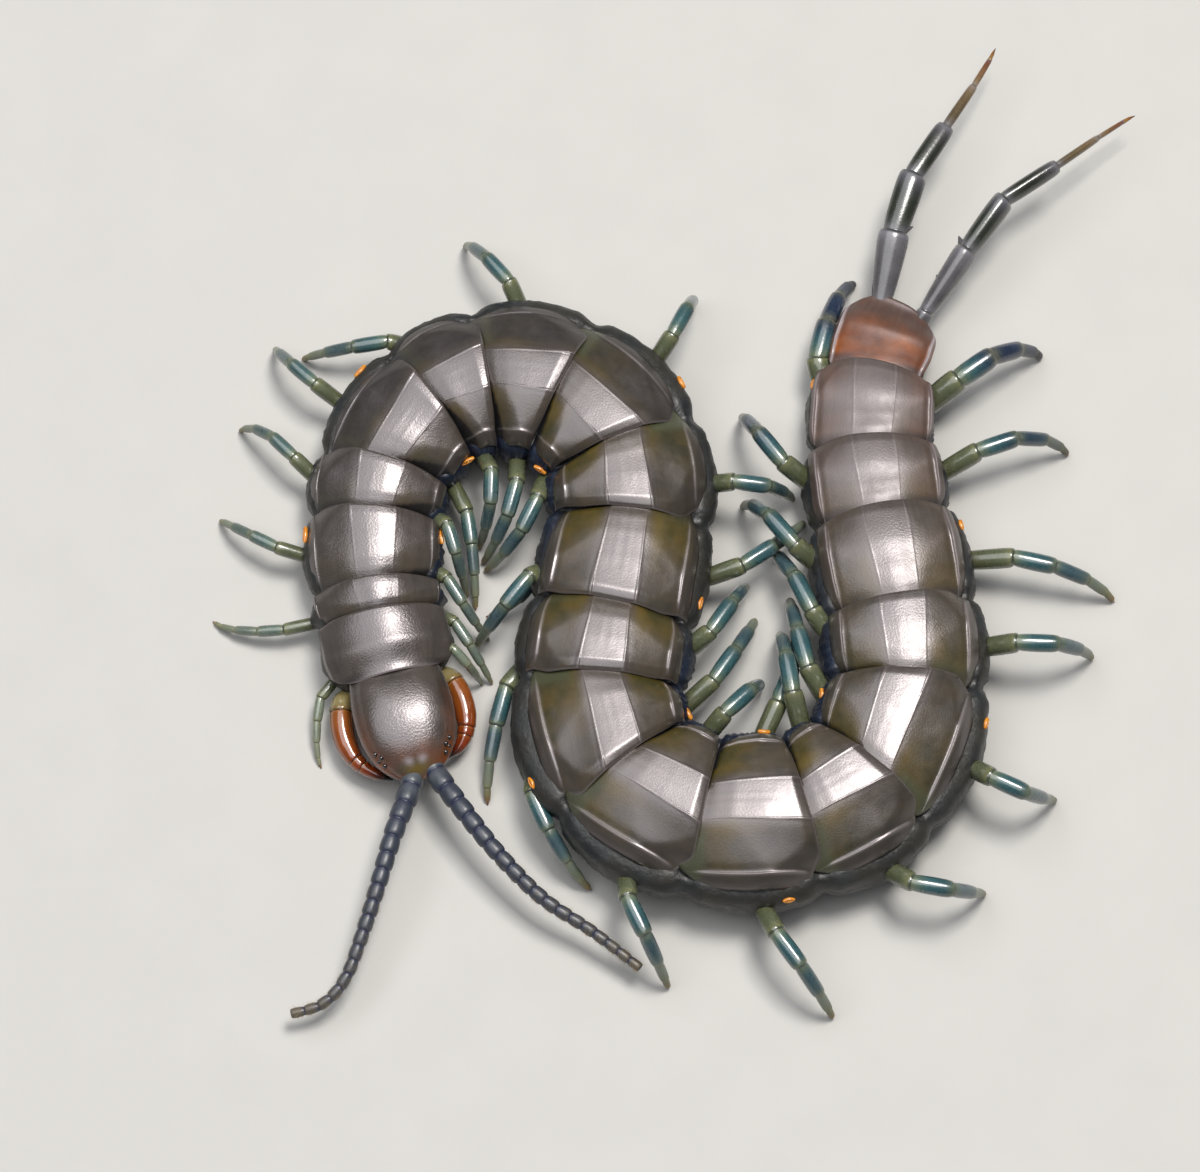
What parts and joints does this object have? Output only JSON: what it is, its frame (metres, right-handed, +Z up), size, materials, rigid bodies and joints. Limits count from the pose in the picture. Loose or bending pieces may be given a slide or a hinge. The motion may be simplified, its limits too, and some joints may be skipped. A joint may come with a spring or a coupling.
{
  "type": "giant centipede",
  "caption": "Giant centipede at life size, curled in a loose S on its walking legs, with beaded antennae, forcipules and trailing last legs.",
  "frame": {"origin": "on the ground, in the middle of the animal's bounding box seen from above; the claws stand on Z = 0", "axes": "+Z up, +X to the right and +Y to the top of the reference view, in which the head points towards -Y"},
  "size_m": [0.047, 0.0518, 0.0058],
  "materials": {
    "back_plate": "glossy dark bronze-grey shell with a fine pitted grain",
    "head_shell": "glossy brown-grey shell, rust at the sides and front",
    "forcipule": "glossy, slightly see-through rust-orange with dark tips",
    "antenna": "satin slate blue, finely hairy towards the tip",
    "walking_leg": "glossy, slightly see-through olive and teal",
    "rear_leg": "glossy dark slate with amber end joints"
  },
  "bodies": {
    "root": {"head": "head_shell", "coxosternite": "forcipule", "trunk_01_01": "back_plate", "trunk_02_03": "back_plate", "trunk_04_05": "back_plate", "trunk_06_07": "back_plate", "trunk_08_09": "back_plate", "trunk_10_11": "back_plate", "trunk_12_13": "back_plate", "trunk_14_15": "back_plate", "trunk_16_17": "back_plate", "trunk_18_19": "back_plate", "trunk_20_21": "back_plate", "antenna_left": "antenna", "forcipule_left": "forcipule", "leg_01_left": "walking_leg", "leg_02_left": "walking_leg", "leg_03_left": "walking_leg", "leg_04_left": "walking_leg", "leg_05_left": "walking_leg", "leg_06_left": "walking_leg", "leg_07_left": "walking_leg", "leg_08_left": "walking_leg", "leg_09_left": "walking_leg", "leg_10_left": "walking_leg", "leg_11_left": "walking_leg", "leg_12_left": "walking_leg", "leg_13_left": "walking_leg", "leg_14_left": "walking_leg", "leg_15_left": "walking_leg", "leg_16_left": "walking_leg", "leg_17_left": "walking_leg", "leg_18_left": "walking_leg", "leg_19_left": "walking_leg", "leg_20_left": "walking_leg", "leg_21_left": "rear_leg", "antenna_right": "antenna", "forcipule_right": "forcipule", "leg_01_right": "walking_leg", "leg_02_right": "walking_leg", "leg_03_right": "walking_leg", "leg_04_right": "walking_leg", "leg_05_right": "walking_leg", "leg_06_right": "walking_leg", "leg_07_right": "walking_leg", "leg_08_right": "walking_leg", "leg_09_right": "walking_leg", "leg_10_right": "walking_leg", "leg_11_right": "walking_leg", "leg_12_right": "walking_leg", "leg_13_right": "walking_leg", "leg_14_right": "walking_leg", "leg_15_right": "walking_leg", "leg_16_right": "walking_leg", "leg_17_right": "walking_leg", "leg_18_right": "walking_leg", "leg_19_right": "walking_leg", "leg_20_right": "walking_leg", "leg_21_right": "rear_leg"}
  },
  "joints": []
}
